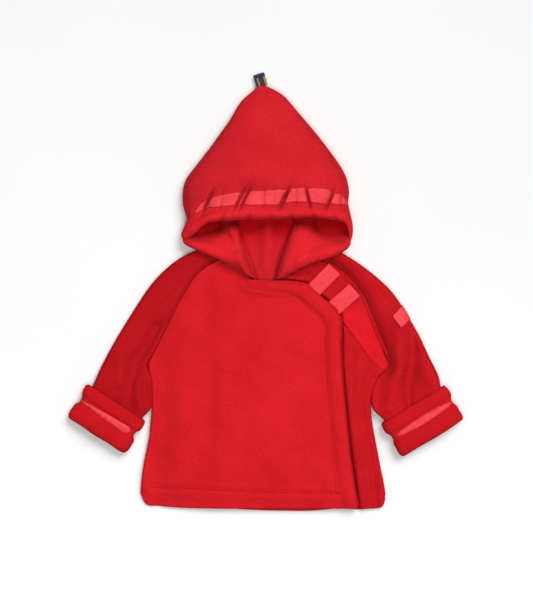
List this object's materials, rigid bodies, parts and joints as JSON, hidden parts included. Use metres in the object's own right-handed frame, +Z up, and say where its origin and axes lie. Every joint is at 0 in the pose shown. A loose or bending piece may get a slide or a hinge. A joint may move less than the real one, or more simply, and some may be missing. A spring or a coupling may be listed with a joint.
{
  "type": "fleece jacket",
  "caption": "Hooded fleece wrap jacket for a baby, laid flat: raglan sleeves, turned-back cuffs with ribbon, pointed hood with a gathered ribbon band, and closure tabs.",
  "frame": {"origin": "centre of the jacket's outline in plan, on the surface that it lies on", "axes": "+X to the right of the view across the chest, +Y from the hem to the tip of the hood, +Z up from the surface, out of the front"},
  "size_m": [0.5148, 0.5713, 0.037],
  "materials": {
    "fleece": "matte brushed pile",
    "ribbon": "satin woven tape",
    "loop": "matte woven tape, striped",
    "label": "smooth woven tape"
  },
  "bodies": {
    "root": {"back": "fleece", "front_right": "fleece", "front_left": "fleece", "sleeve_on_left": "fleece", "sleeve_on_right": "fleece", "cuff_left": "fleece", "cuff_right": "fleece", "cuff_ribbon_left": "ribbon", "cuff_ribbon_right": "ribbon", "hood": "fleece", "hood_ribbon": "ribbon", "hood_loop": "loop", "sleeve_label": "label", "tab_upper": "ribbon", "tab_lower": "ribbon"}
  },
  "joints": []
}
